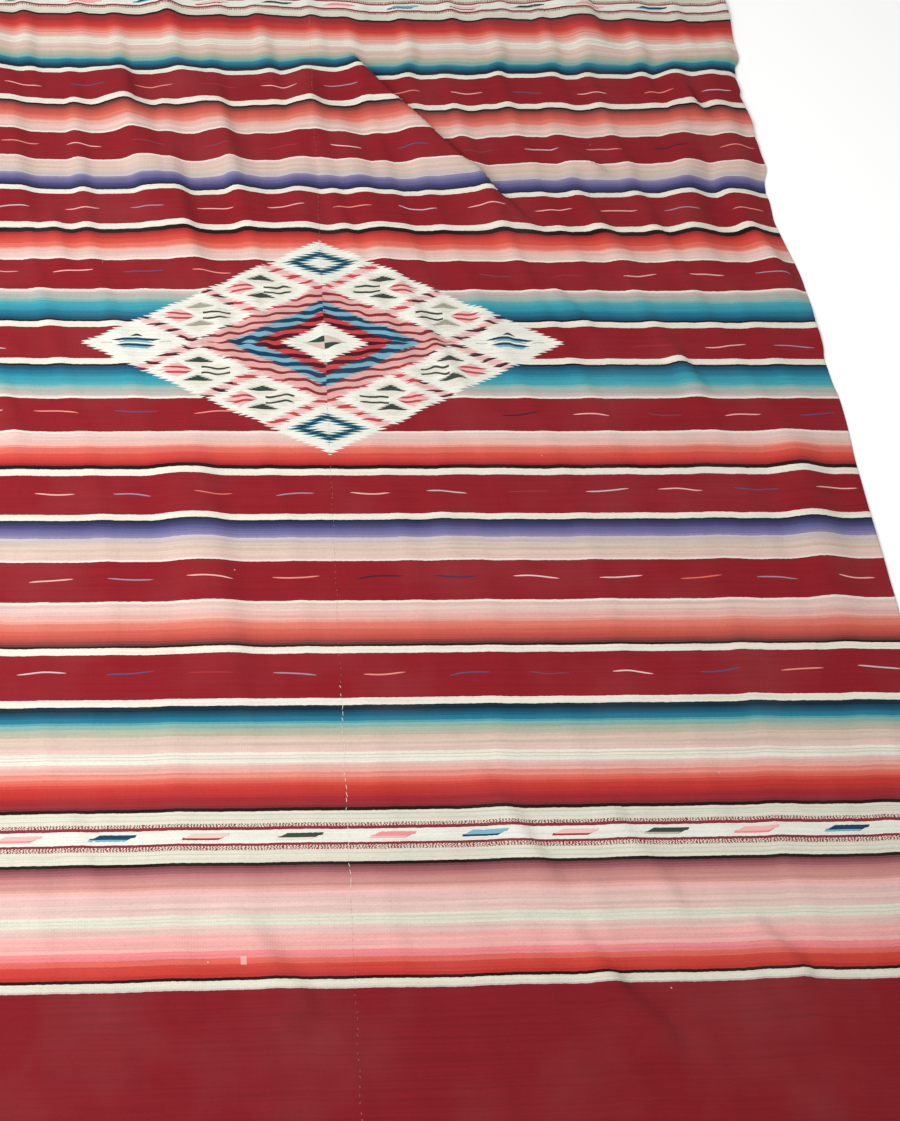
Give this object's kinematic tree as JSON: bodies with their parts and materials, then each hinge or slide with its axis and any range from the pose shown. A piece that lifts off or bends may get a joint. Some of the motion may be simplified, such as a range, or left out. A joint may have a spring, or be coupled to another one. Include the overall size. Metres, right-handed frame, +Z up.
{
  "type": "mexican serape blanket laid flat",
  "caption": "Woven wool serape laid flat and gently rippled: two long panels joined by a lengthwise seam, with striped bands and a stepped diamond centre.",
  "frame": {"origin": "centre of the blanket on the surface it lies on, under the middle of the seam", "axes": "+X across the blanket to its right edge, +Y along the seam to its far end, +Z up"},
  "size_m": [1.618, 2.1, 0.0228],
  "materials": {
    "panel_left": "matt weft-faced wool",
    "panel_right": "matt weft-faced wool"
  },
  "bodies": {
    "root": {"panel_left": "panel_left", "panel_right": "panel_right"}
  },
  "joints": []
}
